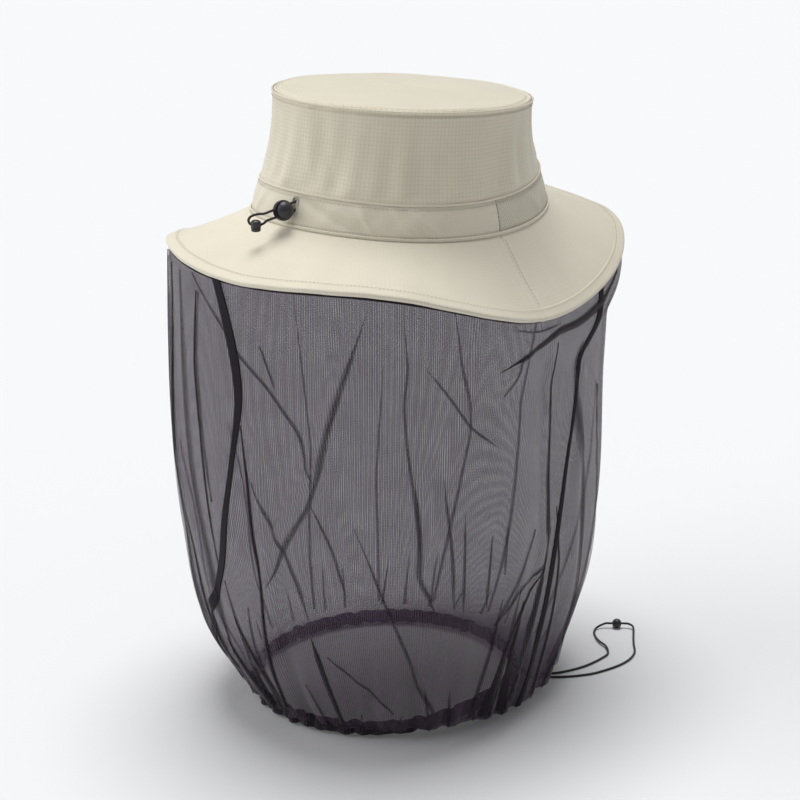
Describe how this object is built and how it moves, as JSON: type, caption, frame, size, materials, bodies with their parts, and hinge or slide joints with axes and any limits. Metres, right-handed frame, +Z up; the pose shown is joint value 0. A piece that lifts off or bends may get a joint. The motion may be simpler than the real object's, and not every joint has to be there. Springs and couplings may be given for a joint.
{
  "type": "beekeeping veil",
  "caption": "Bucket-style sun hat with a sewn-in insect net veil, an elastic hem with a ball lock, and a cord lock that sizes the band.",
  "frame": {"origin": "centre of the head opening, at the level of the band's lower edge", "axes": "+Z up along the head, -Y towards the wearer's front, +X to the wearer's left"},
  "size_m": [0.263, 0.33, 0.4213],
  "materials": {
    "shell": "light khaki micro-ripstop nylon",
    "vent": "khaki mesh fabric",
    "lining": "plain woven lining",
    "foam": "thin closed-cell foam sheet",
    "tape": "black woven binding tape",
    "net": "black fine insect net",
    "cord": "black braided elastic cord",
    "plastic": "black moulded plastic",
    "steel": "spring wire"
  },
  "bodies": {
    "hat": {"crown_tip": "shell", "crown_back_panel": "shell", "crown_front_panel": "shell", "band_back": "shell", "band_front": "vent", "band_top_piping": "shell", "band_bottom_piping": "shell", "sweatband": "lining", "brim_upper_back": "shell", "brim_upper_front": "shell", "brim_stiffener": "foam", "brim_underlay": "lining", "brim_edge_binding": "shell", "band_drawcord": "cord", "band_eyelet": "shell", "band_cord_loop": "cord", "cord_end_cap": "plastic", "cord_end_plug": "plastic", "veil_top_tape": "tape", "veil_net_rear": "net", "veil_net_front": "net", "veil_seam_tape_back": "tape", "veil_seam_tape_side": "tape"},
    "cord_lock": {"cord_lock_barrel": "plastic", "cord_lock_spring": "steel"},
    "lock_plunger": {"cord_lock_plunger": "plastic"},
    "hem": {"veil_hem_casing": "tape", "hem_drawcord": "cord", "hem_eyelet": "tape", "hem_cord_loop": "cord"},
    "hem_ball": {"hem_cord_ball": "plastic"}
  },
  "joints": [
    {"name": "hem_lift", "type": "slide", "parent": "hat", "child": "hem", "axis": [0, 0, 1], "range_m": [0, 0.15], "deforming": ["veil_net_rear", "veil_net_front", "veil_seam_tape_back", "veil_seam_tape_side"]},
    {"name": "cord_lock_slide", "type": "slide", "parent": "hat", "child": "cord_lock", "axis": [0.1809, 0.9648, -0.191], "range_m": [0, 0.006]},
    {"name": "plunger_press", "type": "slide", "parent": "cord_lock", "child": "lock_plunger", "axis": [0.9452, -0.2242, -0.2373], "range_m": [0, 0.0015], "stiffness_N_per_m": 800, "deforming": ["cord_lock_spring"]},
    {"name": "hem_ball_slide", "type": "slide", "parent": "hem", "child": "hem_ball", "axis": [-0.722, -0.6919, 0], "range_m": [-0.003, 0.003]}
  ]
}
